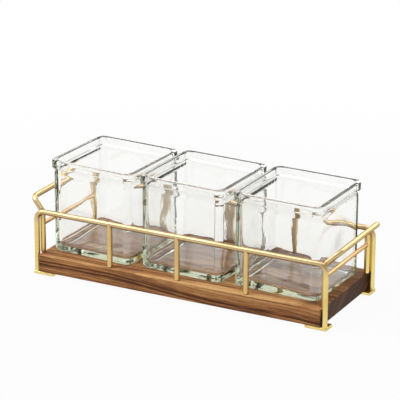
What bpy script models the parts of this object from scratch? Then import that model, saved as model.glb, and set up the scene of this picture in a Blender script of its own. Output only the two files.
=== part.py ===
# Jar rack: a walnut plank carries three square pressed-glass jars inside a low gallery of bent wire.
# Sizes are in metres. X runs along the plank, Y towards the back, Z up, and Z = 0 is under the foot plates.

import bpy
import bmesh
import numpy as np

# Clearance left wherever two pieces touch
GAP = 0.0003

# Jars
JAR_RIM = 0.104
JAR_RIM_CORNER = 0.0045
JAR_RIM_BAND = 0.010
JAR_RIM_ROUND = 0.0018
JAR_RIM_OVERHANG = 0.00175
JAR_LIP = 0.0047
JAR_BODY_CORNER = 0.0065
JAR_NECK = 0.0008
JAR_SHOULDER = 0.006
JAR_HEIGHT = 0.1066
JAR_WALL = 0.0042
JAR_FLOOR = 0.0085
JAR_FLOOR_ROUND = 0.004
JAR_HEEL = 0.004
JAR_FOOT_RING = 0.003
JAR_PUSH_UP = 0.001

# Room round the jars, and how far each stands from the middle of its place and is turned
JAR_SPACING = 0.0075
JAR_END_ROOM = 0.0044
JAR_SIDE_ROOM = 0.0131
JAR_NAMES = ("jar_left", "jar_middle", "jar_right")
JAR_SHIFTS = (0.0015, 0.0003, 0.0013)
JAR_TURNS = (-3.0, -2.4, -1.4)

# Plank, as long and deep as the row of jars needs
BOARD_THICKNESS = 0.020
BOARD_EASE = 0.0007

# Foot plates, one under each corner
PLATE_LENGTH = 0.0254
PLATE_DEPTH = 0.0159
PLATE_THICKNESS = 0.003
PLATE_CORNER = 0.0012
PLATE_EASE = 0.0003
PLATE_MARGIN = 0.0005

# Gallery wire: the long rails with corner posts close to the plank, the uprights and the thinner end rails
RAIL_WIRE = 0.006
UPRIGHT_WIRE = 0.006
END_RAIL_WIRE = 0.0045
WIRE_EASE = 0.0004
RAIL_IN = 0.004
RAIL_HEIGHT = 0.0695
RAIL_BEND = 0.0095
UPRIGHT_PITCH = 0.0828
END_RAIL_HEIGHT = 0.0534

# Handles: two legs that stand on the plank and a grip bent outwards and up between them
LEG_IN = 0.0005
LEG_BEND_BELOW = 0.0018
GRIP_OUT = 0.0136
GRIP_HEIGHT = 0.0811
GRIP_HALF = 0.0509
GRIP_BEND = 0.008

# Countersunk screws that hold the foot plates to the plank
SCREW_HEAD = 0.0064
SCREW_SHANK = 0.003
SCREW_LENGTH = 0.012
SCREW_TIP = 0.0025
SCREW_SUNK = 0.0002
SCREW_FROM_END = 0.0165
RECESS_LENGTH = 0.0034
RECESS_WIDTH = 0.0009
RECESS_DEPTH = 0.0012

# Numbers of straight steps in round shapes
WIRE_SIDES = 24
BEND_STEPS = 7
CORNER_STEPS = 6
ROUND_STEPS = 3

# Heights and half sizes that follow from the sizes above
JAR_PITCH = JAR_RIM + JAR_SPACING
BOARD_LENGTH = len(JAR_NAMES) * JAR_PITCH + 2 * JAR_END_ROOM
BOARD_DEPTH = JAR_RIM + 2 * JAR_SIDE_ROOM
BOARD_BOTTOM = PLATE_THICKNESS + GAP
BOARD_TOP = BOARD_BOTTOM + BOARD_THICKNESS
STANDING = BOARD_TOP + GAP
HALF_LENGTH = BOARD_LENGTH / 2
HALF_DEPTH = BOARD_DEPTH / 2
RAIL_Z = BOARD_BOTTOM + RAIL_HEIGHT
RAIL_Y = HALF_DEPTH - RAIL_IN
POST_X = HALF_LENGTH + GAP + RAIL_WIRE / 2
LEG_X = HALF_LENGTH - LEG_IN
LEG_Y = RAIL_Y - RAIL_WIRE - GAP
LEG_TOP = RAIL_Z - LEG_BEND_BELOW
END_RAIL_Z = BOARD_BOTTOM + END_RAIL_HEIGHT
GRIP_X = HALF_LENGTH + GRIP_OUT
GRIP_Z = BOARD_BOTTOM + GRIP_HEIGHT
PLATE_OUT_X = POST_X + RAIL_WIRE / 2 + PLATE_MARGIN
PLATE_OUT_Y = RAIL_Y + RAIL_WIRE / 2 + PLATE_MARGIN
PLATE_X = PLATE_OUT_X - PLATE_LENGTH / 2
PLATE_Y = PLATE_OUT_Y - PLATE_DEPTH / 2
SCREW_X = PLATE_OUT_X - SCREW_FROM_END


def make_material(name, colour, roughness, metallic):
    """A plain Principled material."""
    material = bpy.data.materials.new(name)
    material.use_nodes = True
    shader = material.node_tree.nodes["Principled BSDF"]
    shader.inputs["Base Color"].default_value = (*colour, 1.0)
    shader.inputs["Roughness"].default_value = roughness
    shader.inputs["Metallic"].default_value = metallic
    material.diffuse_color = (*colour, 1.0)
    return material


def add_object(name, verts, faces, material=None, origin=(0.0, 0.0, 0.0), turn=0.0):
    """A mesh object whose points are given from its own origin."""
    mesh = bpy.data.meshes.new(name)
    mesh.from_pydata([tuple(point) for point in verts], [], faces)
    shape = bmesh.new()
    shape.from_mesh(mesh)
    bmesh.ops.recalc_face_normals(shape, faces=shape.faces)
    shape.to_mesh(mesh)
    shape.free()
    obj = bpy.data.objects.new(name, mesh)
    obj.location = origin
    obj.rotation_euler = (0.0, 0.0, np.radians(turn))
    if material is not None:
        mesh.materials.append(material)
    bpy.context.scene.collection.objects.link(obj)
    return obj


def smooth(obj, angle=40.0):
    """Rounds the shading and keeps edges sharper than the angle crisp."""
    obj.data.shade_smooth()
    obj.data.set_sharp_from_angle(angle=np.radians(angle))


def rounded_square(half_x, half_y, corner, z):
    """Points of a rectangle with round corners, in order, at one height."""
    sweep = np.linspace(0.0, np.pi / 2, CORNER_STEPS + 1)
    points = []
    for quarter, (side_x, side_y) in enumerate(((1, 1), (-1, 1), (-1, -1), (1, -1))):
        turn = sweep + quarter * np.pi / 2
        x = side_x * (half_x - corner) + corner * np.cos(turn)
        y = side_y * (half_y - corner) + corner * np.sin(turn)
        points.append(np.stack([x, y, np.full_like(x, z)], axis=1))
    return np.concatenate(points)


def arc(half, z, radius, start, end):
    """Pairs of half width and height along an arc about a centre, angles in degrees."""
    turn = np.radians(np.linspace(start, end, ROUND_STEPS + 1))
    return list(zip(half + radius * np.cos(turn), z + radius * np.sin(turn)))


def skin(rings):
    """Faces between rings of equal length, with a flat face over the first and the last."""
    count = len(rings[0])
    faces = [list(range(count))]
    for level in range(len(rings) - 1):
        start = level * count
        for i in range(count):
            j = (i + 1) % count
            faces.append([start + i, start + j, start + count + j, start + count + i])
    last = (len(rings) - 1) * count
    faces.append(list(range(last, last + count)))
    return np.concatenate(rings), faces


def bent_path(points, bend):
    """A path through the points whose corners are arcs of one radius."""
    points = [np.array(point) for point in points]
    path = [points[0]]
    for before, corner, after in zip(points, points[1:], points[2:]):
        into = (corner - before) / np.linalg.norm(corner - before)
        away = (after - corner) / np.linalg.norm(after - corner)
        angle = np.arccos(np.clip(into @ away, -1.0, 1.0))
        reach = bend * np.tan(angle / 2)
        inward = (away - into) / np.linalg.norm(away - into)
        centre = corner + inward * bend / np.cos(angle / 2)
        start = corner - into * reach - centre
        for step in np.linspace(0.0, 1.0, BEND_STEPS + 1):
            turned = start * np.cos(step * angle) + into * bend * np.sin(step * angle)
            path.append(centre + turned)
    path.append(points[-1])
    return np.array(path)


def add_wire(name, points, bend, diameter, material, origin):
    """A round wire along a bent path, with a small ease at both cut ends."""
    path = bent_path(points, bend)
    first = (path[1] - path[0]) / np.linalg.norm(path[1] - path[0])
    final = (path[-1] - path[-2]) / np.linalg.norm(path[-1] - path[-2])
    eased_start = path[0] + first * WIRE_EASE
    eased_end = path[-1] - final * WIRE_EASE
    path = np.vstack([path[0], eased_start, path[1:-1], eased_end, path[-1]])
    radii = np.full(len(path), diameter / 2)
    radii[[0, -1]] -= WIRE_EASE
    steps = np.diff(path, axis=0)
    steps /= np.linalg.norm(steps, axis=1)[:, None]
    tangents = np.vstack([steps[0], steps[:-1] + steps[1:], steps[-1]])
    tangents /= np.linalg.norm(tangents, axis=1)[:, None]
    normal = np.cross(tangents[0], (0.3, 0.9, 0.2))
    normal /= np.linalg.norm(normal)
    around = np.linspace(0.0, 2 * np.pi, WIRE_SIDES, endpoint=False)
    rings = []
    for centre, tangent, radius in zip(path, tangents, radii):
        normal = normal - tangent * (normal @ tangent)
        normal /= np.linalg.norm(normal)
        side = np.cross(tangent, normal)
        ring = np.outer(np.cos(around), normal) + np.outer(np.sin(around), side)
        rings.append(centre - np.array(origin) + ring * radius)
    verts, faces = skin(rings)
    obj = add_object(name, verts, faces, material, origin)
    smooth(obj)
    return obj


def add_cutter(name, start, end, radius):
    """A hidden round bar used to cut another piece."""
    start = np.array(start)
    end = np.array(end)
    along = (end - start) / np.linalg.norm(end - start)
    normal = np.cross(along, (0.3, 0.5, 0.8))
    normal /= np.linalg.norm(normal)
    side = np.cross(along, normal)
    around = np.linspace(0.0, 2 * np.pi, 2 * WIRE_SIDES, endpoint=False)
    ring = radius * (np.outer(np.cos(around), normal) + np.outer(np.sin(around), side))
    verts, faces = skin([start + ring, end + ring])
    return hide(add_object(name, verts, faces))


def add_turned(name, profile, material=None, origin=(0.0, 0.0, 0.0)):
    """A solid turned about Z from pairs of radius and height, closed by a flat at each end."""
    around = np.linspace(0.0, 2 * np.pi, WIRE_SIDES, endpoint=False)
    rings = []
    for radius, z in profile:
        x = radius * np.cos(around)
        y = radius * np.sin(around)
        rings.append(np.stack([x, y, np.full_like(x, z)], axis=1))
    verts, faces = skin(rings)
    return add_object(name, verts, faces, material, origin)


def hide(obj):
    """Keeps a helper out of the model."""
    obj.hide_render = True
    obj.display_type = "WIRE"
    return obj


def cut(obj, cutters):
    """Takes each cutter away from the object for good."""
    for cutter in cutters:
        modifier = obj.modifiers.new("cut", "BOOLEAN")
        modifier.operation = "DIFFERENCE"
        modifier.solver = "EXACT"
        modifier.object = cutter
    bpy.context.view_layer.update()
    graph = bpy.context.evaluated_depsgraph_get()
    mesh = bpy.data.meshes.new_from_object(obj.evaluated_get(graph), depsgraph=graph)
    mesh.name = obj.name
    obj.modifiers.clear()
    obj.data = mesh


for old in list(bpy.data.objects):
    bpy.data.objects.remove(old, do_unlink=True)

walnut = make_material("walnut", (0.23, 0.12, 0.06), 0.5, 0.0)
gold_wire = make_material("gold_wire", (0.80, 0.60, 0.30), 0.32, 1.0)
gold_plate = make_material("gold_plate", (0.78, 0.59, 0.30), 0.35, 1.0)
steel = make_material("screw_steel", (0.62, 0.60, 0.56), 0.35, 1.0)
glass = make_material("pressed_glass", (0.80, 0.88, 0.84), 0.05, 0.0)

corners = {
    "front_left": (-1, -1),
    "front_right": (1, -1),
    "back_left": (-1, 1),
    "back_right": (1, 1),
}

# Foot plates with a countersunk hole, their screws, and the pilot holes in the plank
head_height = (SCREW_HEAD - SCREW_SHANK) / 2
hole_profile = [
    (SCREW_HEAD / 2 + GAP, -PLATE_THICKNESS),
    (SCREW_HEAD / 2 + GAP, SCREW_SUNK),
    (SCREW_SHANK / 2 + GAP, SCREW_SUNK + head_height),
    (SCREW_SHANK / 2 + GAP, SCREW_SUNK + SCREW_LENGTH + GAP),
]
screw_profile = [
    (SCREW_HEAD / 2, SCREW_SUNK),
    (SCREW_SHANK / 2, SCREW_SUNK + head_height),
    (SCREW_SHANK / 2, SCREW_SUNK + SCREW_LENGTH - SCREW_TIP),
    (SCREW_SHANK / 10, SCREW_SUNK + SCREW_LENGTH),
]
screw_holes = []
for corner_name, (side_x, side_y) in corners.items():
    spot = (side_x * SCREW_X, side_y * PLATE_Y, 0.0)
    hole = hide(add_turned("cutter_screw_" + corner_name, hole_profile, origin=spot))
    screw_holes.append(hole)
    levels = (
        (PLATE_EASE, 0.0),
        (0.0, PLATE_EASE),
        (0.0, PLATE_THICKNESS - PLATE_EASE),
        (PLATE_EASE, PLATE_THICKNESS),
    )
    plate_rings = []
    for inset, z in levels:
        half_x = PLATE_LENGTH / 2 - inset
        half_y = PLATE_DEPTH / 2 - inset
        plate_rings.append(rounded_square(half_x, half_y, PLATE_CORNER - inset, z))
    plate_verts, plate_faces = skin(plate_rings)
    plate_spot = (side_x * PLATE_X, side_y * PLATE_Y, 0.0)
    plate = add_object("foot_plate_" + corner_name, plate_verts, plate_faces, gold_plate, plate_spot)
    cut(plate, [hole])
    smooth(plate, 30.0)
    screw = add_turned("foot_screw_" + corner_name, screw_profile, steel, spot)
    arms = []
    for length, width in ((RECESS_LENGTH, RECESS_WIDTH), (RECESS_WIDTH, RECESS_LENGTH)):
        top = SCREW_SUNK + RECESS_DEPTH
        bar_rings = []
        for scale, z in ((1.3, -PLATE_THICKNESS), (1.0, SCREW_SUNK), (0.6, top)):
            x = scale * length / 2
            y = scale * width / 2
            bar_rings.append(np.array([(-x, -y, z), (x, -y, z), (x, y, z), (-x, y, z)]))
        bar_verts, bar_faces = skin(bar_rings)
        arms.append(hide(add_object("cutter_recess_" + corner_name, bar_verts, bar_faces, origin=spot)))
    cut(screw, arms)
    smooth(screw, 30.0)

# Plank with eased edges
board_rings = []
for inset, z in (
    (BOARD_EASE, BOARD_BOTTOM),
    (0.0, BOARD_BOTTOM + BOARD_EASE),
    (0.0, BOARD_TOP - BOARD_EASE),
    (BOARD_EASE, BOARD_TOP),
):
    board_rings.append(rounded_square(HALF_LENGTH - inset, HALF_DEPTH - inset, 2 * BOARD_EASE - inset, z))
board_verts, board_faces = skin(board_rings)
board = add_object("base_board", board_verts, board_faces, walnut)
cut(board, screw_holes)
smooth(board, 50.0)

# Long rails, bent down at both ends into the corner posts
rails = {"front": -1, "back": 1}
for rail_name, side_y in rails.items():
    y = side_y * RAIL_Y
    add_wire(
        rail_name + "_rail",
        [(-POST_X, y, BOARD_BOTTOM), (-POST_X, y, RAIL_Z), (POST_X, y, RAIL_Z), (POST_X, y, BOARD_BOTTOM)],
        RAIL_BEND,
        RAIL_WIRE,
        gold_wire,
        (0.0, y, RAIL_Z),
    )
    rail_cutter = add_cutter(
        "cutter_" + rail_name,
        (-HALF_LENGTH, y, RAIL_Z),
        (HALF_LENGTH, y, RAIL_Z),
        RAIL_WIRE / 2 + GAP,
    )
    # Uprights stand on the plank and are coped to the underside of the rail
    for number in (1, 2, 3):
        x = (number - 2) * UPRIGHT_PITCH
        upright = add_wire(
            f"{rail_name}_upright_{number}",
            [(x, y, STANDING), (x, y, RAIL_Z)],
            RAIL_BEND,
            UPRIGHT_WIRE,
            gold_wire,
            (x, y, STANDING),
        )
        cut(upright, [rail_cutter])
        smooth(upright)

# Handles, and the end rails coped between their legs
for end_name, side_x in (("left", -1), ("right", 1)):
    leg_x = side_x * LEG_X
    grip_x = side_x * GRIP_X
    add_wire(
        end_name + "_handle",
        [
            (leg_x, -LEG_Y, STANDING),
            (leg_x, -LEG_Y, LEG_TOP),
            (grip_x, -GRIP_HALF, GRIP_Z),
            (grip_x, GRIP_HALF, GRIP_Z),
            (leg_x, LEG_Y, LEG_TOP),
            (leg_x, LEG_Y, STANDING),
        ],
        GRIP_BEND,
        RAIL_WIRE,
        gold_wire,
        (leg_x, 0.0, RAIL_Z),
    )
    leg_cutters = []
    for side_y in (-1, 1):
        leg_cutters.append(
            add_cutter(
                "cutter_leg_" + end_name,
                (leg_x, side_y * LEG_Y, BOARD_TOP),
                (leg_x, side_y * LEG_Y, RAIL_Z),
                RAIL_WIRE / 2 + GAP,
            )
        )
    end_rail = add_wire(
        end_name + "_end_rail",
        [(leg_x, -LEG_Y, END_RAIL_Z), (leg_x, LEG_Y, END_RAIL_Z)],
        RAIL_BEND,
        END_RAIL_WIRE,
        gold_wire,
        (leg_x, 0.0, END_RAIL_Z),
    )
    cut(end_rail, leg_cutters)
    smooth(end_rail)

# Jars: outside from the middle of the foot to the rim, then inside down to the floor
rim_half = JAR_RIM / 2
body_half = rim_half - JAR_RIM_OVERHANG
neck_half = body_half - JAR_NECK
lip_half = rim_half - JAR_LIP
inside_half = body_half - JAR_WALL
foot_half = body_half - JAR_HEEL
band_bottom = JAR_HEIGHT - JAR_RIM_BAND
outside = [
    (foot_half - 2 * JAR_FOOT_RING, JAR_PUSH_UP),
    (foot_half - JAR_FOOT_RING, 0.0),
    *arc(foot_half, JAR_HEEL, JAR_HEEL, -90, 0),
    (body_half, band_bottom - JAR_SHOULDER),
    (neck_half, band_bottom - JAR_SHOULDER / 3),
    (neck_half, band_bottom - JAR_NECK),
]
band = [
    *arc(rim_half - JAR_RIM_ROUND, band_bottom + JAR_RIM_ROUND, JAR_RIM_ROUND, -90, 0),
    *arc(rim_half - JAR_RIM_ROUND, JAR_HEIGHT - JAR_RIM_ROUND, JAR_RIM_ROUND, 0, 90),
    *arc(lip_half + JAR_RIM_ROUND, JAR_HEIGHT - JAR_RIM_ROUND, JAR_RIM_ROUND, 90, 180),
]
inside = [
    (inside_half, band_bottom),
    *arc(inside_half - JAR_FLOOR_ROUND, JAR_FLOOR + JAR_FLOOR_ROUND, JAR_FLOOR_ROUND, 0, -90),
]
jar_rings = [rounded_square(half, half, JAR_BODY_CORNER, z) for half, z in outside]
jar_rings += [rounded_square(half, half, JAR_RIM_CORNER, z) for half, z in band]
jar_rings += [rounded_square(half, half, JAR_BODY_CORNER - JAR_WALL / 2, z) for half, z in inside]
for number, jar_name in enumerate(JAR_NAMES):
    jar_x = (number - 1) * JAR_PITCH + JAR_SHIFTS[number]
    jar_verts, jar_faces = skin(jar_rings)
    jar = add_object(jar_name, jar_verts, jar_faces, glass, (jar_x, 0.0, STANDING), JAR_TURNS[number])
    smooth(jar, 50.0)
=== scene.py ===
# Jar rack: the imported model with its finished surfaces, in a small pale studio.
# Lengths are in metres. X runs along the plank, Y towards the back, Z up.

import math

import bpy
import numpy as np
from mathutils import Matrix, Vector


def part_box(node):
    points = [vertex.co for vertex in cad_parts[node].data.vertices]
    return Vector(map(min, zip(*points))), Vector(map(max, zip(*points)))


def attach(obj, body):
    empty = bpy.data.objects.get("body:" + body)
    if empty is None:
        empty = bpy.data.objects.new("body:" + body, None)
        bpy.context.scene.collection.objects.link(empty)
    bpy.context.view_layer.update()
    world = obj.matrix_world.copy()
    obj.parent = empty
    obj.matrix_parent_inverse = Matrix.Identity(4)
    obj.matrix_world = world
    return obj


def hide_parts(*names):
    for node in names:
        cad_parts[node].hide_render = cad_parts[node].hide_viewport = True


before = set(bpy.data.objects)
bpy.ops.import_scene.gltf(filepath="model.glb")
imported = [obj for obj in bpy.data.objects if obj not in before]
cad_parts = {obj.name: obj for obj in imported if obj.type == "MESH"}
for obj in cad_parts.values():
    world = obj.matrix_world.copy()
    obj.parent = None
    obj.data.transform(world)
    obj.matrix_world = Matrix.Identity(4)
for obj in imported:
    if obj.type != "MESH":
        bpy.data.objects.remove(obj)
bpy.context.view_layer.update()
print("frame loaded with", len(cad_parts), "nodes")


# Helpers for meshes

leastTurn = 1e-4    # a corner that turns by less, in radians, gets no arc


def roundedLine(corners, bends, straightStep, arcSteps):
    # A line through corner points, flat or in space. Each inner corner with a bend radius becomes an arc
    # that touches both of its sides. The arc's centre lies inwards by radius / cos(half the turn), and
    # the straights between are split into steps of about one length.
    corners = np.array(corners, float)
    pieces = [corners[:1]]
    for before, here, after, bend in zip(corners, corners[1:], corners[2:], bends[1:]):
        into = (here - before) / np.linalg.norm(here - before)
        away = (after - here) / np.linalg.norm(after - here)
        angle = np.arccos(np.clip(into @ away, -1.0, 1.0))
        if bend <= 0 or angle < leastTurn:
            pieces.append(here[None])
            continue
        inward = (away - into) / np.linalg.norm(away - into)
        centre = here + inward * bend / np.cos(angle / 2)
        start = here - into * bend * np.tan(angle / 2) - centre
        turn = np.linspace(0.0, angle, arcSteps + 1)[:, None]
        pieces.append(centre + start * np.cos(turn) + into * bend * np.sin(turn))
    pieces.append(corners[-1:])
    line = [pieces[0]]
    for last, following in zip(pieces, pieces[1:]):
        gap = following[0] - last[-1]
        count = max(1, int(np.ceil(np.linalg.norm(gap) / straightStep)))
        share = np.linspace(0.0, 1.0, count + 1)[1:-1, None]
        line.append(last[-1] + gap * share)
        line.append(following)
    return np.concatenate(line)


def squareRound(sideSteps, cornerSteps):
    # Two unit vectors for each step round a square with round corners: a point lies at
    # (half side - radius) times the first plus radius times the second, its outward direction.
    along = np.linspace(-1.0, 1.0, sideSteps, endpoint=False)
    turn = np.linspace(0.0, np.pi / 2, cornerSteps, endpoint=False)
    square, outward = [], []
    for quarter in range(4):
        c, s = np.cos(quarter * np.pi / 2), np.sin(quarter * np.pi / 2)
        spin = np.array([[c, s], [-s, c]])
        side = np.stack([np.ones_like(along), along], axis=1)
        corner = np.stack([np.ones_like(turn), np.ones_like(turn)], axis=1)
        square.append(np.concatenate([side, corner]) @ spin)
        facing = np.stack([np.ones_like(along), np.zeros_like(along)], axis=1)
        curve = np.stack([np.cos(turn), np.sin(turn)], axis=1)
        outward.append(np.concatenate([facing, curve]) @ spin)
    return np.concatenate(square), np.concatenate(outward)


def gridMesh(name, grid, across=None):
    # A closed mesh from a grid of points: every row joins on itself, and the first and last rows
    # close on their middle point. across holds the rows' places along the pattern and the pattern's
    # width, for the UV map.
    rows, columns = grid.shape[:2]
    row = np.arange(rows - 1)[:, None]
    column = np.arange(columns)[None, :]
    beside = (column + 1) % columns
    here, nextRow = row * columns, (row + 1) * columns
    quads = np.stack([here + column, here + beside, nextRow + beside, nextRow + column], axis=-1)
    quads = quads.reshape(-1, 4)
    ring, ringNext = column[0], beside[0]
    last = (rows - 1) * columns
    firstPole, lastPole = rows * columns, rows * columns + 1
    firstFan = np.stack([ringNext, ring, np.full(columns, firstPole)], axis=1)
    lastFan = np.stack([last + ring, last + ringNext, np.full(columns, lastPole)], axis=1)
    points = np.concatenate([grid.reshape(-1, 3), [grid[0].mean(axis=0)], [grid[-1].mean(axis=0)]])
    triangles = np.concatenate([quads[:, :3], quads[:, [0, 2, 3]], firstFan, lastFan])
    volume = np.linalg.det(points[triangles] - points.mean(axis=0)).sum()
    if volume < 0:
        quads, firstFan, lastFan = quads[:, ::-1], firstFan[:, ::-1], lastFan[:, ::-1]
    mesh = bpy.data.meshes.new(name)
    mesh.from_pydata(points, [], quads.tolist() + firstFan.tolist() + lastFan.tolist())
    if across is not None:
        # the pattern runs on past the seam, so the last column's faces end one step further on
        length, width = across
        table = np.zeros((rows * columns + 2, 2))
        table[:rows * columns, 0] = np.repeat(length, columns)
        table[:rows * columns, 1] = np.tile(np.arange(columns) / columns * width, rows)
        table[firstPole, 0], table[lastPole, 0] = length[0], length[-1]
        corners = np.concatenate([quads.ravel(), firstFan.ravel(), lastFan.ravel()])
        places = table[corners]
        quadPlaces = places[:quads.size].reshape(-1, 4, 2)
        wraps = np.ptp(quadPlaces[:, :, 1], axis=1) > width / 2
        low = quadPlaces[:, :, 1] < width / 2
        quadPlaces[:, :, 1] += np.where(wraps[:, None] & low, width, 0.0)
        layer = mesh.uv_layers.new(name="alongWire")
        layer.data.foreach_set("uv", places.astype(np.float32).ravel())
    mesh.shade_smooth()
    mesh.validate()
    return mesh


def addPiece(name, mesh, material, body, slotName, *nodes):
    # Puts a finished mesh in the scene, gives it to its body, and lets it stand for its CAD nodes.
    mesh.materials.append(material)
    piece = bpy.data.objects.new(name, mesh)
    bpy.context.scene.collection.objects.link(piece)
    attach(piece, body)
    if nodes:
        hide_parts(*nodes)


def smooth(share):
    # From 0 to 1 with no kink at either end: share squared times (3 - 2 share)
    return share * share * (3 - 2 * share)


# Helpers for materials

def newMaterial(name):
    # An empty material, its node tree and its one shader
    material = bpy.data.materials.new(name)
    material.use_nodes = True
    return material, material.node_tree, material.node_tree.nodes["Principled BSDF"]


def setSockets(tree, node, values):
    # Links a node's input where the value is another node's output, and sets it where it is a number
    for key, value in values.items():
        if isinstance(value, bpy.types.NodeSocket):
            tree.links.new(value, node.inputs[key])
        else:
            node.inputs[key].default_value = value


def addNode(tree, kind, values=None, **options):
    # One shader node: options are its own settings, and values go to its inputs
    made = tree.nodes.new(kind)
    for key, value in options.items():
        setattr(made, key, value)
    setSockets(tree, made, values or {})
    return made


def stretched(tree, source, scale):
    # The same place with each axis multiplied, so that a pattern is drawn out along the small one
    return addNode(tree, "ShaderNodeMapping", {"Vector": source, "Scale": scale}).outputs[0]


def separated(tree, source):
    # The three parts of a vector, under the names X, Y and Z
    return addNode(tree, "ShaderNodeSeparateXYZ", {0: source}).outputs


def noise(tree, place, scale, detail=3.0, roughness=0.55):
    # Cloudy values between 0 and 1, scale lumps to the metre
    made = addNode(tree, "ShaderNodeTexNoise", {
        "Vector": place, "Scale": scale, "Detail": detail, "Roughness": roughness})
    return made.outputs["Fac"]


def remap(tree, value, low, high, newLow=0.0, newHigh=1.0):
    # Carries low to newLow and high to newHigh in a straight line, and stays level beyond them
    made = addNode(tree, "ShaderNodeMapRange", {
        "Value": value, "From Min": low, "From Max": high, "To Min": newLow, "To Max": newHigh})
    return made.outputs[0]


def mixColours(tree, share, first, second, how="MIX"):
    # (1 - share) of the first colour plus share of the two combined
    made = addNode(tree, "ShaderNodeMix", data_type="RGBA", blend_type=how)
    setSockets(tree, made, {0: share, 6: first, 7: second})
    return made.outputs[2]


def arithmetic(tree, operation, first, second=0.0):
    # The operation on two numbers
    return addNode(tree, "ShaderNodeMath", {0: first, 1: second}, operation=operation).outputs[0]


def product(tree, first, second):
    # first times second
    return arithmetic(tree, "MULTIPLY", first, second)


def vectorMath(tree, operation, values):
    # The operation on vectors
    return addNode(tree, "ShaderNodeVectorMath", values, operation=operation).outputs


def addRelief(tree, shader, height, strength, depth):
    # Tilts the shading by the slope of height, where 1 stands depth above 0
    bump = addNode(tree, "ShaderNodeBump", {"Strength": strength, "Distance": depth, "Height": height})
    tree.links.new(bump.outputs[0], shader.inputs["Normal"])


# Camera

cameraSettings = {
    "azimuth": 27.53,       # degrees round from the front, towards the right end
    "elevation": 19.65,
    "roll": 0.22,
    "distance": 2.483,
    "target": (-0.0042, 0.0, 0.0949),
    "lens": 205.5,          # millimetres, on the sensor's width
    "sensorWidth": 36.0,
    "clip": (0.05, 60.0),
}


def placedMatrix(right, up, back, place):
    # The matrix whose columns are three directions and a place, as Blender takes it
    matrix = np.eye(4)
    matrix[:3, 0], matrix[:3, 1], matrix[:3, 2], matrix[:3, 3] = right, up, back, place
    return matrix.T.tolist()


def addCamera(settings):
    # Stands back from the target by distance along (sin a cos e, -cos a cos e, sin e), where a is the
    # azimuth and e the elevation, and turns about its own line of sight by the roll.
    data = bpy.data.cameras.new("camera")
    data.lens = settings["lens"]
    data.sensor_fit = "HORIZONTAL"
    data.sensor_width = settings["sensorWidth"]
    data.clip_start, data.clip_end = settings["clip"]
    camera = bpy.data.objects.new("camera", data)
    bpy.context.scene.collection.objects.link(camera)
    a, e, r = (math.radians(settings[key]) for key in ("azimuth", "elevation", "roll"))
    back = np.array([math.sin(a) * math.cos(e), -math.cos(a) * math.cos(e), math.sin(e)])
    level = np.array([math.cos(a), math.sin(a), 0.0])
    upright = np.cross(back, level)
    right = math.cos(r) * level + math.sin(r) * upright
    up = np.cross(back, right)
    place = np.array(settings["target"]) + back * settings["distance"]
    camera.matrix_world = placedMatrix(right, up, back, place)
    bpy.context.scene.camera = camera


addCamera(cameraSettings)


# Pressed glass jars

jarSettings = {
    "rim": 0.104, "height": 0.1066,             # side over the rim, and height of the jar
    "rimBand": 0.010, "overhang": 0.00175,      # height of the rim's band, and how far it stands out
    "lip": 0.0047, "wall": 0.0042,              # thickness of the glass at the rim and below it
    "draft": 0.0005,                            # how much thicker the wall is at the floor
    "neck": 0.0008, "shoulder": 0.006,          # depth and height of the hollow under the band
    "floor": 0.0060, "floorDome": 0.0008,       # thickness of the floor, and its rise in the middle
    "heel": 0.0048, "footRing": 0.003, "pushUp": 0.001,
    "rimCorner": 0.0070, "lipCorner": 0.0085,   # corners seen from above: of the band and inside it,
    "bodyCorner": 0.0070, "insideCorner": 0.0060,   # and of the body and inside it
    "rimRound": 0.0012, "bandRound": 0.0018, "underBandRound": 0.0004,  # bends of the outline
    "neckRound": 0.003, "shoulderRound": 0.010, "lipFootRound": 0.004, "throatRound": 0.008,
    "floorRound": 0.0060, "ringRound": 0.0012, "ringInsideRound": 0.002,
    "middle": 0.0006,                           # half the width at which the outline starts and ends
    "mostRound": 0.95,                          # greatest corner radius, as a share of half the width
    # how far the floor sinks at its right side, and rises at its left
    "floorLean": {"jar_left": 0.0003, "jar_middle": -0.0008, "jar_right": 0.0034},
    "floorLumps": 0.0002, "lumpCount": 9, "lumpLengths": (0.060, 0.026),
    "floorTop": 0.016, "floorFade": 0.014,      # the floor's lean and lumps die out up to this height
    "waveHeight": 0.00036,                      # of the longest waves that the plunger left inside
    "waveCount": 12, "waveLengths": (0.070, 0.022),
    "calm": 0.6, "outsideWaves": 0.12,          # how much weaker they are at the floor; share outside
    "waveTop": 0.002, "waveFade": 0.022,        # they die out downwards from above the band's bottom
    "footFade": 0.01,                           # and outside towards the foot
    "seed": 11, "lumpSeed": 50,
    "turns": {"jar_left": -3.0, "jar_middle": -2.4, "jar_right": -1.4},
    "outlineStep": 0.0016, "arcSteps": 8, "sideSteps": 58, "cornerSteps": 12,
}


def waves(points, seed, count, lengths, height):
    # The sum of plane waves in space: each has its own direction, length and start, and a longer wave
    # is higher.
    rng = np.random.default_rng(seed)
    longest, shortest = lengths
    lengths = np.geomspace(longest, shortest, count)
    directions = rng.normal(size=(count, 3))
    directions /= np.linalg.norm(directions, axis=1)[:, None]
    starts = rng.uniform(0.0, 2 * np.pi, count)
    phase = points @ (directions / lengths[:, None] * 2 * np.pi).T + starts
    return (np.sin(phase) * (lengths / longest)).sum(axis=-1) * height / np.sqrt(count)


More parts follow.
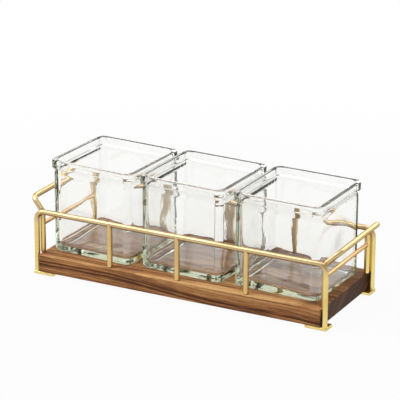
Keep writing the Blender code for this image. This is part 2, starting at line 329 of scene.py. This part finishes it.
def jarGrid(settings, seed, lean):
    # The jar's outline, half a side wide, is a line from under the foot up the outside, over the rim and
    # down the inside to the floor. Every point of it is carried round a square with round corners.
    s = settings
    rim = s["rim"] / 2
    body = rim - s["overhang"]
    neck = body - s["neck"]
    lip = rim - s["lip"]
    inner = body - s["wall"]
    foot = body - s["heel"]
    bandBottom = s["height"] - s["rimBand"]
    # across, up, radius of the bend, and radius of the four corners when seen from above
    corners = np.array([
        (s["middle"], s["pushUp"], 0.0, s["bodyCorner"]),
        (foot - 2 * s["footRing"], s["pushUp"], s["ringInsideRound"], s["bodyCorner"]),
        (foot - s["footRing"], 0.0, s["ringRound"], s["bodyCorner"]),
        (body, 0.0, s["heel"], s["bodyCorner"]),
        (body, bandBottom - s["shoulder"], s["shoulderRound"], s["bodyCorner"]),
        (neck, bandBottom - s["shoulder"] / 3, s["neckRound"], s["bodyCorner"]),
        (neck, bandBottom, s["underBandRound"], s["bodyCorner"]),
        (rim, bandBottom, s["bandRound"], s["rimCorner"]),
        (rim, s["height"], s["rimRound"], s["rimCorner"]),
        (lip, s["height"], s["rimRound"], s["lipCorner"]),
        (lip, s["height"] - s["rimBand"] / 2, s["lipFootRound"], s["lipCorner"]),
        (inner, bandBottom - s["shoulder"] / 2, s["throatRound"], s["insideCorner"]),
        (inner - s["draft"], s["floor"], s["floorRound"], s["insideCorner"]),
        (s["middle"], s["floor"] + s["floorDome"], 0.0, s["insideCorner"]),
    ])
    outline = roundedLine(corners[:, :2], corners[:, 2], s["outlineStep"], s["arcSteps"])
    half, z = outline[:, :1], outline[:, 1:]
    apart = np.linalg.norm(outline[:, None] - corners[None, :, :2], axis=2)
    nearest = np.maximum.accumulate(apart.argmin(axis=0))
    radius = np.interp(np.arange(len(outline)), nearest, corners[:, 3])[:, None]
    radius = np.minimum(radius, s["mostRound"] * half)
    square, outward = squareRound(s["sideSteps"], s["cornerSteps"])
    flat = (half - radius)[:, None] * square[None] + radius[:, None] * outward[None]
    grid = np.concatenate([flat, np.broadcast_to(z[:, None], flat.shape[:2] + (1,))], axis=2)
    # waves stand along the surface's own outward direction, and die out towards the rim
    alongRows = np.gradient(grid, axis=0)
    alongColumns = np.roll(grid, -1, axis=1) - np.roll(grid, 1, axis=1)
    facing = np.cross(alongColumns, alongRows)
    facing /= np.maximum(np.linalg.norm(facing, axis=2), 1e-12)[:, :, None]
    heights = waves(grid, seed, s["waveCount"], s["waveLengths"], s["waveHeight"])
    fade = smooth(np.clip((bandBottom + s["waveTop"] - z) / s["waveFade"], 0.0, 1.0))
    isInside = (np.arange(len(outline)) > np.argmax(z))[:, None]
    nearFloor = np.clip((s["floor"] + s["floorTop"] - z) / s["floorFade"], 0.0, 1.0) * isInside
    inside = fade * (1 - s["calm"] * nearFloor)
    outside = s["outsideWaves"] * fade * np.clip(z / s["footFade"], 0.0, 1.0)
    strength = np.where(isInside, inside, outside)
    grid = grid + facing * (heights * strength)[:, :, None]
    # the floor leans by lean at its sides and has slow lumps, which die out up the walls
    level = grid * np.array([1.0, 1.0, 0.0])
    lumps = waves(level, seed + s["lumpSeed"], s["lumpCount"], s["lumpLengths"], s["floorLumps"])
    grid[:, :, 2] += (lumps - lean * grid[:, :, 0] / body) * smooth(nearFloor)
    return grid


glassSettings = {
    "ior": 1.51,
    "tint": (0.58, 0.65, 0.38), "density": 10.0,    # light fades by density times (1 - tint) in a metre
    "cloudScale": 45.0, "cloudFrom": (0.58, 0.80), "haze": 0.02,    # greatest roughness, in a cloud
    "rippleScale": 160.0, "rippleStretch": (1.0, 1.0, 0.35),
    "rippleStrength": 0.06, "rippleDepth": 0.001,
}


def glassMaterial(settings):
    # Clear glass with a green tint that deepens with the way through it, faint ripples drawn out
    # upwards, and a few hazy clouds.
    material, tree, shader = newMaterial("pressedGlass")
    place = addNode(tree, "ShaderNodeTexCoord").outputs["Object"]
    cloud = noise(tree, place, settings["cloudScale"], 2.0)
    setSockets(tree, shader, {
        "Base Color": (1.0, 1.0, 1.0, 1.0), "Transmission Weight": 1.0, "IOR": settings["ior"],
        "Roughness": remap(tree, cloud, *settings["cloudFrom"], 0.0, settings["haze"])})
    drawnOut = stretched(tree, place, settings["rippleStretch"])
    ripple = noise(tree, drawnOut, settings["rippleScale"], 2.0)
    addRelief(tree, shader, ripple, settings["rippleStrength"], settings["rippleDepth"])
    absorb = addNode(tree, "ShaderNodeVolumeAbsorption", {
        "Color": (*settings["tint"], 1.0), "Density": settings["density"]})
    tree.links.new(absorb.outputs[0], tree.nodes["Material Output"].inputs["Volume"])
    return material


glass = glassMaterial(glassSettings)
for number, jarName in enumerate(("jar_left", "jar_middle", "jar_right")):
    low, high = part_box(jarName)
    grid = jarGrid(jarSettings, jarSettings["seed"] + number, jarSettings["floorLean"][jarName])
    turn = math.radians(jarSettings["turns"][jarName])
    c, s = math.cos(turn), math.sin(turn)
    spin = np.array([[c, -s, 0.0], [s, c, 0.0], [0.0, 0.0, 1.0]])
    middle = np.array([(low.x + high.x) / 2, (low.y + high.y) / 2, low.z])
    name = "glass_" + jarName
    body = jarName.split("_")[1] + "_jar"
    addPiece(name, gridMesh(name, grid @ spin.T + middle), glass, body, "pressed_glass", jarName)
print("jars done")


# Bent wire gallery

wireSettings = {
    "railRadius": 0.003, "uprightRadius": 0.003, "endRailRadius": 0.00225,
    "railBend": 0.0095, "gripBend": 0.008,
    "gap": 0.0003,          # left wherever two wires touch
    "railIn": 0.004, "railHeight": 0.0695, "uprightPitch": 0.0828, "endRailHeight": 0.0534,
    "legIn": 0.0005, "legBendBelow": 0.0018, "gripOut": 0.0136, "gripHeight": 0.0811, "gripHalf": 0.0509,
    "gripTilt": (0.6, 0.8), # across and up, where the grip's circles start
    "weld": 0.0009,         # reach of the fillets where wires meet
    "ease": 0.0009,         # size of the eased edge at a plain end
    "beadSizes": (0.0026, 0.0013, 0.0024), "beadBelow": 0.0019,
    "beadRipples": (0.05, 9, 0.04, 2),  # height and count of the ripples up the bead and round it
    "beadRows": 25, "beadSides": 48, "beadPole": 0.02,  # the pole's opening, in radians
    "straightStep": 0.006, "sides": 48, "bendSteps": 20,
    "endRows": 7, "copeRows": 9, "betweenRows": 6,  # rows of points at an end, a coped end and between
}
boardLow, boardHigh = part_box("base_board")
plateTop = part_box("foot_plate_front_left")[1].z
boardTop = boardHigh.z
halfLength, halfDepth = boardHigh.x, boardHigh.y
railZ = boardLow.z + wireSettings["railHeight"]
railY = halfDepth - wireSettings["railIn"]
postX = halfLength + wireSettings["gap"] + wireSettings["railRadius"]
legX = halfLength - wireSettings["legIn"]
legY = railY - 2 * wireSettings["railRadius"] - wireSettings["gap"]
legTop = railZ - wireSettings["legBendBelow"]
endRailZ = boardLow.z + wireSettings["endRailHeight"]
gripX = halfLength + wireSettings["gripOut"]
gripZ = boardLow.z + wireSettings["gripHeight"]


def hollow(share):
    # The height of a hollow quarter circle, from 1 down to 0: 1 - root(1 - (1 - share) squared)
    return 1 - np.sqrt(1 - (1 - share) ** 2)


def sweep(path, radii, reference, sides):
    # A circle carried along the path, square to it. Its start direction is the part of the
    # reference direction that is square to the path, so the tube never twists.
    ahead = np.gradient(path, axis=0)
    ahead /= np.linalg.norm(ahead, axis=1)[:, None]
    reference = np.array(reference, float)
    normal = reference - ahead * (ahead @ reference)[:, None]
    normal /= np.linalg.norm(normal, axis=1)[:, None]
    side = np.cross(ahead, normal)
    around = np.linspace(0.0, 2 * np.pi, sides, endpoint=False)[None, :, None]
    ring = np.cos(around) * normal[:, None] + np.sin(around) * side[:, None]
    return path[:, None] + ring * radii[:, None, None]


def lengthsAlong(path):
    # The way from the path's start to each of its points
    return np.concatenate([[0.0], np.cumsum(np.linalg.norm(np.diff(path, axis=0), axis=1))])


def endedWire(path, radius, footFlare, ease, endRows):
    # Adds close points at both ends of the path and gives the radius at each: eased by an arc at a
    # plain end, or flaring in a hollow quarter circle where a weld fillet meets what it stands on.
    close = np.linspace(0.0, 1.0, endRows)
    reach = footFlare if footFlare > 0 else ease
    first = (path[1] - path[0]) / np.linalg.norm(path[1] - path[0])
    final = (path[-2] - path[-1]) / np.linalg.norm(path[-2] - path[-1])
    startPoints = path[0] + first * (close * reach)[:, None]
    endPoints = path[-1] + final * (close[::-1] * reach)[:, None]
    full = np.concatenate([startPoints, path[1:-1], endPoints])
    change = hollow(close) * (footFlare if footFlare > 0 else -ease)
    radii = np.full(len(full), radius)
    radii[:endRows] += change
    radii[-endRows:] += change[::-1]
    return full, radii


def copedWire(start, along, cross, length, radius, startOther, endOther, settings):
    # A straight wire between two others that it meets square on. Each end follows the round surface of
    # the wire it meets: it stops short by the root of (their radius squared - own sideways offset squared).
    # Along the other wire the end flares into a hollow fillet. A plain start, with no other wire, is
    # flat with an eased edge.
    weld, rows = settings["weld"], settings["copeRows"]
    along, cross = np.array(along, float), np.array(cross, float)
    third = np.cross(along, cross)
    around = np.linspace(0.0, 2 * np.pi, settings["sides"], endpoint=False)
    lengthways = np.cos(around) ** 2
    shares = np.concatenate([np.linspace(0.0, 1.0, rows), np.linspace(1.0, 0.0, rows)])[:, None]
    fillet = np.repeat(weld * lengthways[None, :], 2 * rows, axis=0)
    if startOther == 0:
        fillet[:rows] = settings["ease"]
    flare = fillet * hollow(shares)
    flare[:rows] *= 1 if startOther > 0 else -1
    reach = radius + flare
    sideways = np.abs(np.sin(around))[None, :] * radius
    startStop = np.sqrt(np.maximum(startOther ** 2 - sideways ** 2, 0.0))
    endStop = np.sqrt(np.maximum(endOther ** 2 - sideways ** 2, 0.0))
    fromStart, fromEnd = startStop + fillet * shares, length - endStop - fillet * shares
    distance = np.where(np.arange(2 * rows)[:, None] < rows, fromStart, fromEnd)
    circle = cross * np.cos(around)[:, None] + third * np.sin(around)[:, None]
    grid = np.array(start) + along * distance[:, :, None] + circle[None] * reach[:, :, None]
    middleShares = np.linspace(0.0, 1.0, settings["betweenRows"] + 2)[1:-1]
    share = middleShares[:, None, None]
    between = grid[rows - 1][None] * (1 - share) + grid[rows][None] * share
    grid = np.concatenate([grid[:rows], between, grid[rows:]])
    places = np.concatenate([np.linspace(0, weld, rows), weld + (length - 2 * weld) * middleShares,
                             np.linspace(length - weld, length, rows)])
    return grid, places


def weldBead(settings, seed):
    # A small egg of metal with ripples across it, as a weld leaves where two wires touch.
    sizes = settings["beadSizes"]
    upHeight, upCount, roundHeight, roundCount = settings["beadRipples"]
    pole = 0.5 * np.pi - settings["beadPole"]
    up = np.linspace(-pole, pole, settings["beadRows"])[:, None]
    around = np.linspace(0.0, 2 * np.pi, settings["beadSides"], endpoint=False)[None, :]
    ripple = 1 + upHeight * np.sin(upCount * up + seed) + roundHeight * np.cos(roundCount * around + seed)
    x = sizes[0] * np.cos(up) * np.cos(around) * ripple
    y = sizes[1] * np.cos(up) * np.sin(around) * ripple
    z = sizes[2] * np.sin(up) * np.ones_like(around)
    return np.stack([x, y, z], axis=2)


# light is the tone low down, top the tone of the rails, which carries a painted reflection, drift what both
# are multiplied by in places, edge the tint where the metal is seen aslant, and under the painted shade
# that faces which look down are multiplied by.
goldSettings = {"light": (0.90, 0.725, 0.28), "top": (0.76, 0.58, 0.32), "drift": (0.88, 0.83, 0.78),
                "roughness": (0.29, 0.40), "edge": (0.50, 0.37, 0.22), "under": (0.42, 0.33, 0.22)}
# the uprights' copy of the gold is darker all over, painted shade
shadedUprightSettings = {"light": (0.78, 0.575, 0.25), "top": (0.78, 0.565, 0.26), "drift": (0.90, 0.86, 0.80),
                   "roughness": (0.36, 0.48), "edge": (0.55, 0.42, 0.26), "under": (0.42, 0.33, 0.22)}
# the end rails' copy of the gold is peach all over, the same painted reflection tone as the rails' top
endRailReflectionSettings = {"light": (0.84, 0.60, 0.33), "top": (0.84, 0.60, 0.33), "drift": (0.90, 0.85, 0.78),
                   "roughness": (0.26, 0.37), "edge": (0.50, 0.34, 0.18), "under": (0.42, 0.33, 0.22)}
steelSettings = {"light": (0.62, 0.60, 0.56), "top": (0.62, 0.60, 0.56), "drift": (0.82, 0.82, 0.82),
                 "roughness": (0.28, 0.42), "edge": (0.9, 0.9, 0.9), "under": (1.0, 1.0, 1.0)}
platingSettings = {
    "reflectionToneHeights": (0.058, 0.070),              # between these the light tone gives way to the top one, which carries a painted reflection
    "broadScale": 28.0, "broadFrom": (0.35, 0.65),
    "fineScale": 620.0, "fineShare": 0.4, "roughFrom": (0.3, 0.7),
    "shadedUnderFrom": (-0.45, -0.06),                # how far the outward direction points down, where painted shade comes in
    "relief": 0.12, "reliefDepth": 0.0001,
}


def metalMaterial(name, settings, plating):
    # Satin plating: its tone drifts slowly from place to place, and with height it turns towards the top
    # tone, which carries a painted reflection. Fine brushing varies the roughness, and the metal is darker
    # at its edges, where it is seen aslant.
    # Faces that look down get painted shade from the under tone, and upright ones keep their own.
    material, tree, shader = newMaterial(name)
    coordinates = addNode(tree, "ShaderNodeTexCoord").outputs
    place = coordinates["Object"]
    broad = noise(tree, place, plating["broadScale"], 3.0)
    fine = noise(tree, place, plating["fineScale"], 2.0)
    # with height the colour turns towards the top tone, a painted reflection
    reflectionShare = remap(tree, separated(tree, place)["Z"], *plating["reflectionToneHeights"])
    tone = mixColours(tree, reflectionShare, (*settings["light"], 1), (*settings["top"], 1))
    drifted = mixColours(tree, 1.0, tone, (*settings["drift"], 1), "MULTIPLY")
    colour = mixColours(tree, remap(tree, broad, *plating["broadFrom"]), tone, drifted)
    # painted shade: faces that look down are multiplied by the under tone
    isShadedUnder = remap(tree, separated(tree, coordinates["Normal"])["Z"], *plating["shadedUnderFrom"], 1.0, 0.0)
    paintedShadeUnder = mixColours(tree, 1.0, colour, (*settings["under"], 1), "MULTIPLY")
    broadPart = product(tree, broad, 1.0 - plating["fineShare"])
    mixed = arithmetic(tree, "ADD", broadPart, product(tree, fine, plating["fineShare"]))
    setSockets(tree, shader, {
        "Base Color": mixColours(tree, isShadedUnder, colour, paintedShadeUnder), "Metallic": 1.0,
        "Specular Tint": (*settings["edge"], 1.0),
        "Roughness": remap(tree, mixed, *plating["roughFrom"], *settings["roughness"])})
    addRelief(tree, shader, fine, plating["relief"], plating["reliefDepth"])
    return material


goldWire = metalMaterial("goldWire", goldSettings, platingSettings)
goldEndRailReflection = metalMaterial("goldEndRailReflection", endRailReflectionSettings, platingSettings)
goldUprightShaded = metalMaterial("goldUprightShaded", shadedUprightSettings, platingSettings)
goldPlate = metalMaterial("goldPlate", goldSettings, platingSettings)
screwSteel = metalMaterial("screwSteel", steelSettings, platingSettings)


def addBentWire(name, corners, bend, reference, footFlare, node):
    # A wire of the rails' thickness through the corners, with finished ends
    w = wireSettings
    path = roundedLine(corners, [bend] * len(corners), w["straightStep"], w["bendSteps"])
    path, radii = endedWire(path, w["railRadius"], footFlare, w["ease"], w["endRows"])
    grid = sweep(path, radii, reference, w["sides"])
    mesh = gridMesh(name, grid, (lengthsAlong(path), 2 * np.pi * w["railRadius"]))
    addPiece(name, mesh, goldWire, "rack", "gold_wire", node)


w = wireSettings
for side, sign in (("front", -1), ("back", 1)):
    y = sign * railY
    corners = [(-postX, y, plateTop), (-postX, y, railZ), (postX, y, railZ), (postX, y, plateTop)]
    addBentWire(f"wire_{side}_rail", corners, w["railBend"], (0, 1, 0), w["weld"], f"{side}_rail")
    for number in (1, 2, 3):
        x = (number - 2) * w["uprightPitch"]
        name = f"wire_{side}_upright_{number}"
        grid, places = copedWire((x, y, boardTop), (0, 0, 1), (1, 0, 0), railZ - boardTop,
                                 w["uprightRadius"], 0.0, w["railRadius"], w)
        mesh = gridMesh(name, grid, (places, 2 * np.pi * w["uprightRadius"]))
        addPiece(name, mesh, goldUprightShaded, "rack", "gold_wire", f"{side}_upright_{number}")
for side, sign in (("left", -1), ("right", 1)):
    x = sign * legX
    grip = sign * gripX
    corners = [(x, -legY, boardTop), (x, -legY, legTop), (grip, -w["gripHalf"], gripZ),
               (grip, w["gripHalf"], gripZ), (x, legY, legTop), (x, legY, boardTop)]
    tilt = (-w["gripTilt"][0] * sign, 0, w["gripTilt"][1])
    addBentWire(f"wire_{side}_handle", corners, w["gripBend"], tilt, 0.0, f"{side}_handle")
    name = f"wire_{side}_end_rail"
    grid, places = copedWire((x, -legY, endRailZ), (0, 1, 0), (0, 0, 1), 2 * legY,
                             w["endRailRadius"], w["railRadius"], w["railRadius"], w)
    mesh = gridMesh(name, grid, (places, 2 * np.pi * w["endRailRadius"]))
    addPiece(name, mesh, goldEndRailReflection, "rack", "gold_wire", f"{side}_end_rail")
beadY = railY - w["railRadius"] - w["gap"] / 2
for side, signY in (("front", -1), ("back", 1)):
    for end, signX in (("left", -1), ("right", 1)):
        middle = np.array([signX * legX, signY * beadY, railZ - w["beadBelow"]])
        bead = weldBead(w, signX + 2 * signY) + middle
        name = f"weld_{side}_{end}"
        length = np.linspace(0.0, 2 * w["beadSizes"][2], w["beadRows"])
        mesh = gridMesh(name, bead, (length, 2 * np.pi * w["beadSizes"][1]))
        addPiece(name, mesh, goldWire, "rack", "gold_wire")
print("wires done")


# Walnut plank

walnutSettings = {
    "heart": (0.0, 0.12, -0.15),    # a point on the log's heart
    "drift": 0.035,                 # how steeply the layers sink towards the right end
    "bow": (0.0017, 0.22, -0.13),   # height and length of the layers' long wave, and where it starts
    "sway": 0.003,                  # how far the layers swing from side to side
    "swayScale": 16.0, "swayStretch": (0.3, 1.0, 1.0),
    "perMetre": (1.8, 160.0),       # colour bands along the layers and across them
    # stretch, detail, roughness and weight of each noise in the sum
    "bands": ((1.0, 1.0, 1.0), 2.0, 0.5, 0.28),
    "lines": ((6.0, 5.0, 1.0), 3.0, 0.6, 0.32),
    "hairs": ((24.0, 12.0, 1.0), 3.0, 0.6, 0.24),
    "fibres": ((42.0, 820.0, 820.0), 3.0, 0.6, 0.16),
    "pores": ((120.0, 2300.0, 2300.0), 2.0, 0.5), "poresFrom": (0.60, 0.68), "poreShare": 0.5,
    "lighter": (0.243, 0.254, -0.03, 0.035),    # between these distances from the heart, by this much
    "darkLayers": (0.2458, 0.2432), # distances from the heart of two dark bands
    "darkEdge": (0.0002, 0.0011), "darkDepth": 0.07,
    "paintedTopLight": 0.075,               # how much paler painted light makes the top layer
    "paintedTopLightDepth": (-0.0012, -0.0002),         # it comes in between these depths,
    "paintedTopLightAcross": (-0.048, 0.025),           # goes out from the front edge to under the jars,
    "paintedTopLightAlong": (-0.16, 0.09, 0.30),        # grows from this share at the left
    "paintedTopLightEnd": (0.138, 0.152),               # and goes out at the right
    "endFrom": (0.7, 0.95), "spread": (0.100, 0.085),   # spread of the shade on the faces and on the ends
    "dark": (0.090, 0.037, 0.016), "brown": (0.27, 0.118, 0.048),
    "amber": (0.46, 0.225, 0.092), "pale": (0.72, 0.44, 0.20),
    "brownAt": 0.30, "amberAt": 0.58,
    "endShade": 0.38,               # end grain soaks up more oil and turns darker
    "fibreFrom": (0.3, 0.7), "fibreShare": 0.5,
    "roughness": (0.48, 0.62), "poreRoughness": 0.2, "shine": 0.16,
    "fibreHeight": 0.4, "relief": 0.35, "reliefDepth": 0.00015,
}


def walnutMaterial(settings):
    # Growth layers are shells about the log's heart, which runs almost along the plank, below and behind.
    # Their colour is a weighted sum of noises over (length along, distance from the heart): broad bands,
    # lines and hairs, and of fibres that run along the plank. Two layers are darker, and the sum is lighter
    # away from the heart. Painted light makes the top layer paler, from the front edge to under the jars,
    # more so to the right.
    s = settings
    material, tree, shader = newMaterial("oiledWalnut")
    coordinates = addNode(tree, "ShaderNodeTexCoord").outputs
    place = coordinates["Object"]
    sway = addNode(tree, "ShaderNodeTexNoise", {
        "Vector": stretched(tree, place, s["swayStretch"]), "Scale": s["swayScale"], "Detail": 2.0})
    swing = vectorMath(tree, "SUBTRACT", {0: sway.outputs["Color"], 1: (0.5, 0.5, 0.5)})[0]
    swing = vectorMath(tree, "SCALE", {0: swing, "Scale": s["sway"]})[0]
    swayed = vectorMath(tree, "ADD", {0: place, 1: swing})[0]
    parts = separated(tree, vectorMath(tree, "SUBTRACT", {0: swayed, 1: s["heart"]})[0])
    bowHeight, bowLength, bowStart = s["bow"]
    fromStart = arithmetic(tree, "SUBTRACT", parts["X"], bowStart)
    turn = product(tree, fromStart, 2 * math.pi / bowLength)
    bow = product(tree, arithmetic(tree, "SINE", turn), bowHeight)
    drift = product(tree, parts["X"], s["drift"])
    height = arithmetic(tree, "ADD", parts["Z"], arithmetic(tree, "SUBTRACT", drift, bow))
    squares = [arithmetic(tree, "POWER", part, 2.0) for part in (parts["Y"], height)]
    distance = arithmetic(tree, "SQRT", arithmetic(tree, "ADD", *squares))
    perAlong, perAcross = s["perMetre"]
    layers = addNode(tree, "ShaderNodeCombineXYZ", {
        "X": product(tree, parts["X"], perAlong), "Y": product(tree, distance, perAcross)}).outputs[0]
    shade = remap(tree, distance, *s["lighter"])
    for key, source in (("bands", layers), ("lines", layers), ("hairs", layers), ("fibres", place)):
        stretch, detail, roughness, weight = s[key]
        part = noise(tree, stretched(tree, source, stretch), 1.0, detail, roughness)
        shade = arithmetic(tree, "ADD", shade, product(tree, part, weight))
    fibres = part
    for layer in s["darkLayers"]:
        away = arithmetic(tree, "ABSOLUTE", arithmetic(tree, "SUBTRACT", distance, layer))
        shade = arithmetic(tree, "SUBTRACT", shade, remap(tree, away, *s["darkEdge"], s["darkDepth"], 0.0))
    spot = separated(tree, place)
    deepest, shallowest = (boardTop + depth for depth in s["paintedTopLightDepth"])
    fromLeft, toRight, least = s["paintedTopLightAlong"]
    # painted light: the top face is paler in its top layer, from the front edge to under the jars and more
    # so to the right
    paintedTopLight = remap(tree, spot["Z"], deepest, shallowest, 0.0, s["paintedTopLight"])
    for share in (remap(tree, separated(tree, swayed)["Y"], *s["paintedTopLightAcross"], 1.0, 0.0),
                  remap(tree, spot["X"], fromLeft, toRight, least, 1.0),
                  remap(tree, spot["X"], *s["paintedTopLightEnd"], 1.0, 0.0)):
        paintedTopLight = product(tree, paintedTopLight, share)
    shade = arithmetic(tree, "ADD", shade, paintedTopLight)
    isEnd = arithmetic(tree, "ABSOLUTE", separated(tree, coordinates["Normal"])["X"])
    isEnd = remap(tree, isEnd, *s["endFrom"])
    spread = remap(tree, isEnd, 0.0, 1.0, *s["spread"])
    lowest, highest = (arithmetic(tree, how, 0.5, spread) for how in ("SUBTRACT", "ADD"))
    ramp = addNode(tree, "ShaderNodeValToRGB", {"Fac": remap(tree, shade, lowest, highest)})
    stops = ramp.color_ramp.elements
    stops[0].position, stops[0].color = 0.0, (*s["dark"], 1)
    stops[1].position, stops[1].color = 1.0, (*s["pale"], 1)
    for position, key in ((s["brownAt"], "brown"), (s["amberAt"], "amber")):
        stops.new(position).color = (*s[key], 1)
    stretch, detail, roughness = s["pores"]
    pores = noise(tree, stretched(tree, place, stretch), 1.0, detail, roughness)
    poreShade = remap(tree, pores, *s["poresFrom"])
    fibreShare = remap(tree, fibres, *s["fibreFrom"], 0.0, s["fibreShare"])
    fibred = mixColours(tree, fibreShare, ramp.outputs[0], (*s["pale"], 1), "SOFT_LIGHT")
    pored = mixColours(tree, product(tree, poreShade, s["poreShare"]), fibred, (*s["dark"], 1))
    oiled = mixColours(tree, isEnd, (1, 1, 1, 1), (s["endShade"],) * 3 + (1,))
    rough = remap(tree, fibres, *s["fibreFrom"], *s["roughness"])
    setSockets(tree, shader, {
        "Base Color": mixColours(tree, 1.0, pored, oiled, "MULTIPLY"),
        "Roughness": arithmetic(tree, "ADD", rough, product(tree, poreShade, s["poreRoughness"])),
        "Specular IOR Level": s["shine"]})
    relief = arithmetic(tree, "SUBTRACT", product(tree, fibres, s["fibreHeight"]), poreShade)
    addRelief(tree, shader, relief, s["relief"], s["reliefDepth"])
    return material


def giveMaterial(nodeName, material):
    # A CAD node that keeps its shape takes this material in place of its own
    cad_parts[nodeName].data.materials.clear()
    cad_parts[nodeName].data.materials.append(material)


giveMaterial("base_board", walnutMaterial(walnutSettings))
for corner in ("front_left", "front_right", "back_left", "back_right"):
    giveMaterial("foot_plate_" + corner, goldPlate)
    giveMaterial("foot_screw_" + corner, screwSteel)
print("plank done")


# Studio

studioSettings = {
    "ambient": 0.32,        # the even light that reaches dull surfaces
    "throughGlass": 1.4,    # the same through glass
    "overhead": 0.32, "overheadFrom": (0.36, 0.80),     # what metal and glass see up there,
    "front": 0.48, "frontFrom": (-0.3, 0.75),           # and towards the camera
    "backdrop": (-0.46, 0.89, 0.0),                     # where the bright backdrop stands
    "glow": 2.2, "glowFrom": (0.12, 0.76, 0.64), "glowEdge": (0.87, 0.95),  # a bright patch
    "keyPower": 27.0, "keySize": 1.5, "keyFrom": (-1.35, -0.65, 1.45),
    "fillPower": 1.5, "fillSize": 1.2, "fillFrom": (1.5, -0.9, 0.9),
    "topPower": 15.0, "topSize": 1.8, "topFrom": (-0.1, -0.35, 1.8),
    "lampTarget": (0.0, 0.0, 0.06),
    "floorShade": 0.50, "floorRoughness": 0.9, "floorGlow": 0.95, "floorFade": (0.26, 0.8),
    "floorGap": 0.0002,     # keeps the floor apart from the plates' undersides
    "floorReach": 20.0,
    "bounces": 24, "glossyBounces": 8,
}


def addLamp(settings, key):
    # A square soft lamp that looks at the middle of the rack
    data = bpy.data.lights.new(key + "Lamp", "AREA")
    data.shape, data.size, data.energy = "SQUARE", settings[key + "Size"], settings[key + "Power"]
    lamp = bpy.data.objects.new(key + "Lamp", data)
    bpy.context.scene.collection.objects.link(lamp)
    place = settings[key + "From"]
    back = np.array(place, float) - np.array(settings["lampTarget"])
    back /= np.linalg.norm(back)
    level = np.cross((0.0, 0.0, 1.0), back)
    level /= np.linalg.norm(level)
    lamp.matrix_world = placedMatrix(level, np.cross(back, level), back, place)


def addFloor(settings):
    # A pale floor that the camera, metal and glass see as nearly white, and fully white further off
    mesh = bpy.data.meshes.new("floor")
    reach, low = settings["floorReach"], -settings["floorGap"]
    corners = [(-reach, -reach, low), (reach, -reach, low), (reach, reach, low), (-reach, reach, low)]
    mesh.from_pydata(corners, [], [(0, 1, 2, 3)])
    floor = bpy.data.objects.new("floor", mesh)
    bpy.context.scene.collection.objects.link(floor)
    material, tree, shader = newMaterial("paleFloor")
    mesh.materials.append(material)
    setSockets(tree, shader, {
        "Base Color": (settings["floorShade"],) * 3 + (1,), "Roughness": settings["floorRoughness"]})
    place = addNode(tree, "ShaderNodeTexCoord").outputs["Object"]
    far = vectorMath(tree, "LENGTH", {0: place})["Value"]
    path = addNode(tree, "ShaderNodeLightPath").outputs
    seen = arithmetic(tree, "MAXIMUM", path["Is Camera Ray"], path["Is Transmission Ray"])
    seen = arithmetic(tree, "MAXIMUM", seen, path["Is Glossy Ray"])
    share = product(tree, seen, remap(tree, far, *settings["floorFade"], settings["floorGlow"], 1.0))
    white = addNode(tree, "ShaderNodeEmission")
    mix = addNode(tree, "ShaderNodeMixShader", {0: share, 1: shader.outputs[0], 2: white.outputs[0]})
    tree.links.new(mix.outputs[0], tree.nodes["Material Output"].inputs["Surface"])


def addWorld(settings):
    # Metal and glass see a backdrop that is white behind the rack and dims overhead and towards the camera.
    # Satin metal also shows a bright round patch above and behind, which lights the handles' edges.
    # Dull surfaces get an even light, and more of it through glass, where the lamps' own light is blocked.
    world = bpy.data.worlds.new("studio")
    bpy.context.scene.world = world
    world.use_nodes = True
    tree = world.node_tree
    direction = addNode(tree, "ShaderNodeTexCoord").outputs["Generated"]
    height = separated(tree, direction)["Z"]
    overhead = remap(tree, height, *settings["overheadFrom"], 1.0, settings["overhead"])
    towards = vectorMath(tree, "DOT_PRODUCT", {0: direction, 1: settings["backdrop"]})["Value"]
    behind = remap(tree, towards, *settings["frontFrom"], settings["front"], 1.0)
    toGlow = vectorMath(tree, "DOT_PRODUCT", {0: direction, 1: settings["glowFrom"]})["Value"]
    glow = remap(tree, toGlow, *settings["glowEdge"], 0.0, settings["glow"])
    path = addNode(tree, "ShaderNodeLightPath").outputs
    glow = product(tree, glow, arithmetic(tree, "SUBTRACT", 1.0, path["Is Singular Ray"]))
    around = arithmetic(tree, "ADD", product(tree, overhead, behind), glow)
    isDull = arithmetic(tree, "GREATER_THAN", path["Diffuse Depth"], 0.5)
    even = remap(tree, path["Is Transmission Ray"], 0.0, 1.0,
                 settings["ambient"], settings["throughGlass"])
    level = mixColours(tree, isDull, around, even)
    final = mixColours(tree, path["Is Camera Ray"], level, (1, 1, 1, 1))
    setSockets(tree, tree.nodes["Background"], {"Color": final, "Strength": 1.0})


for key in ("key", "fill", "top"):
    addLamp(studioSettings, key)
addFloor(studioSettings)
addWorld(studioSettings)
scene = bpy.context.scene
scene.view_settings.view_transform = "Standard"
scene.cycles.max_bounces = studioSettings["bounces"]
scene.cycles.transmission_bounces = studioSettings["bounces"]
scene.cycles.glossy_bounces = studioSettings["glossyBounces"]
print("studio done")
